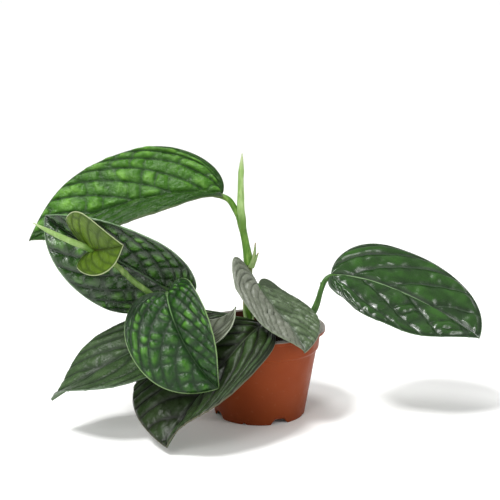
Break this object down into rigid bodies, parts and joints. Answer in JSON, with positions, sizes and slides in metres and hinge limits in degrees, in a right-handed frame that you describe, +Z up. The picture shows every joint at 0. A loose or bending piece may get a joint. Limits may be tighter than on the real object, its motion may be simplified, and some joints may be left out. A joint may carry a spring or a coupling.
{
  "type": "potted philodendron",
  "caption": "Climbing aroid with quilted heart-shaped leaves on arching stalks, rooted in soil in a round plastic nursery pot.",
  "frame": {"origin": "centre of the pot's underside, on the surface that the pot stands on", "axes": "+Z up; +X along the plant's spread, towards the leaf that stands alone; -Y towards the front, where the leaf droops over the pot's rim"},
  "size_m": [0.4087, 0.1887, 0.2432],
  "materials": {
    "pot": "satin moulded terracotta-coloured plastic",
    "soil": "rough, damp peat and bark crumbs",
    "stalk": "satin, light green stalks",
    "spike": "satin, pale green rolled new leaves with dry tips",
    "leaf_green": "glossy quilted mid-green leaf with sunken veins",
    "leaf_dark": "glossy quilted dark green leaf with sunken veins",
    "leaf_pale": "satin grey-green ageing leaf with a pale margin",
    "leaf_young": "glossy bronze-olive young leaf with a pale margin"
  },
  "bodies": {
    "root": {"pot": "pot", "soil": "soil", "shoot": "stalk", "petiole_upper": "stalk", "spike_upper": "spike", "sheath_stub": "stalk", "petiole_middle": "stalk", "runner": "stalk", "petiole_front": "stalk", "petiole_drooping": "stalk", "petiole_low": "stalk", "petiole_over_rim": "stalk", "petiole_small": "stalk", "petiole_right": "stalk", "spike_runner": "spike", "leaf_upper": "leaf_green", "leaf_middle": "leaf_dark", "leaf_front": "leaf_green", "leaf_drooping": "leaf_dark", "leaf_low": "leaf_dark", "leaf_over_rim": "leaf_pale", "leaf_small": "leaf_pale", "leaf_right": "leaf_dark", "leaf_young": "leaf_young"}
  },
  "joints": []
}
